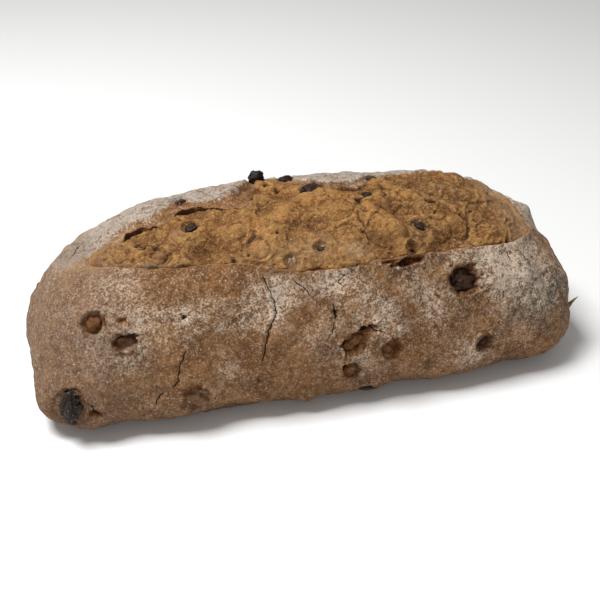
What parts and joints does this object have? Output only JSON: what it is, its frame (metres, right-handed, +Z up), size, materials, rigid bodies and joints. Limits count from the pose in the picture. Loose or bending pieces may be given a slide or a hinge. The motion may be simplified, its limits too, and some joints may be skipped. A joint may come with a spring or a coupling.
{
  "type": "raisin walnut bread",
  "caption": "Short, blunt hearth loaf with a floured crust and a long burst along its top, with raisins and walnut pieces set in it.",
  "frame": {"origin": "on the floor under the middle of the loaf's length and width", "axes": "+X along the loaf, +Z up, the burst leaning towards -Y"},
  "size_m": [0.2413, 0.1056, 0.0799],
  "materials": {
    "crust": "matte floured bread crust with a torn, golden-tan burst",
    "raisin": "wrinkled dark raisin with a soft sheen",
    "walnut": "baked walnut, brown skin, satin"
  },
  "bodies": {
    "root": {"loaf": "crust", "raisin_back_a": "raisin", "raisin_back_b": "raisin", "raisin_back_c": "raisin", "raisin_base": "raisin", "raisin_burst_back": "raisin", "raisin_burst_left": "raisin", "raisin_burst_middle": "raisin", "raisin_burst_right": "raisin", "raisin_crown": "raisin", "raisin_far_back": "raisin", "raisin_front_lip": "raisin", "raisin_grey_left": "raisin", "raisin_left_corner": "raisin", "raisin_right_end": "raisin", "raisin_right_low": "raisin", "raisin_rim": "raisin", "raisin_rim_left": "raisin", "raisin_rim_right": "raisin", "raisin_window": "raisin", "walnut_back_a": "walnut", "walnut_back_b": "walnut", "walnut_base_left": "walnut", "walnut_burst_left": "walnut", "walnut_burst_nub": "walnut", "walnut_far_right": "walnut", "walnut_front_a": "walnut", "walnut_front_b": "walnut", "walnut_front_c": "walnut", "walnut_left_end": "walnut", "walnut_left_pit": "walnut", "walnut_left_window": "walnut", "walnut_rim": "walnut"}
  },
  "joints": []
}
